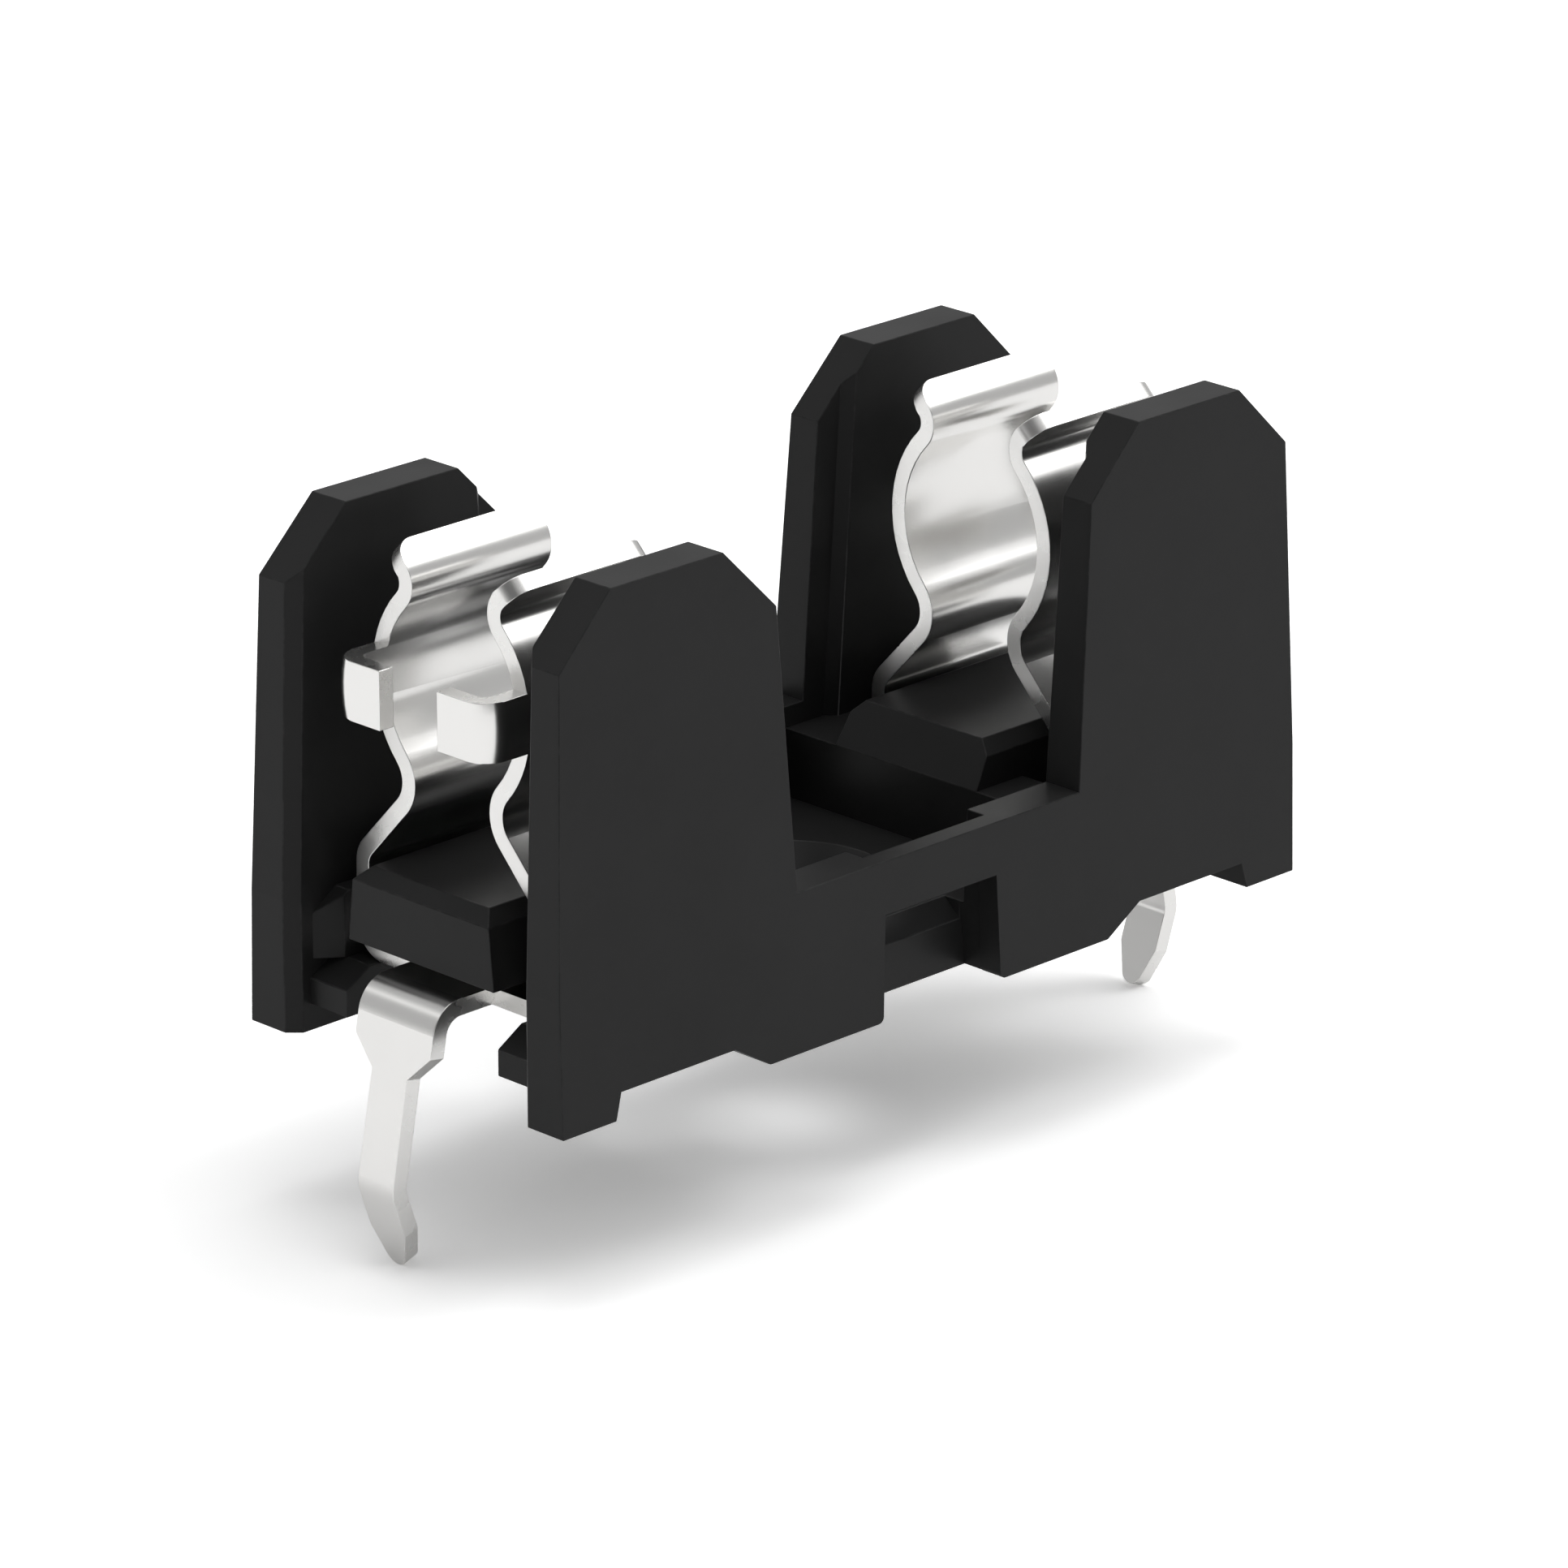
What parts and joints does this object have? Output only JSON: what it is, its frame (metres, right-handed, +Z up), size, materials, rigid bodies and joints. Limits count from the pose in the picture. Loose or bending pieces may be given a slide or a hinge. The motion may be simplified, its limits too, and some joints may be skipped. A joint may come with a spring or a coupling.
{
  "type": "pcb fuse holder",
  "caption": "Open circuit-board holder for a small cartridge fuse: moulded base with upright corner walls and sprung folded sheet contacts, each with an end stop and a flat solder pin",
  "frame": {"origin": "middle of the plane in which the base sits on the circuit board", "axes": "X along the fuse, Y across it, Z up away from the board; the solder pins reach below Z 0, through the board"},
  "size_m": [0.0242, 0.0096, 0.0156],
  "materials": {
    "black_plastic": "black moulded thermoplastic with a fine satin surface",
    "tinned_metal": "bright silver tin plating on a copper alloy sheet"
  },
  "bodies": {
    "root": {"base_moulding": "black_plastic", "left_contact_clip": "tinned_metal", "right_contact_clip": "tinned_metal"}
  },
  "joints": []
}
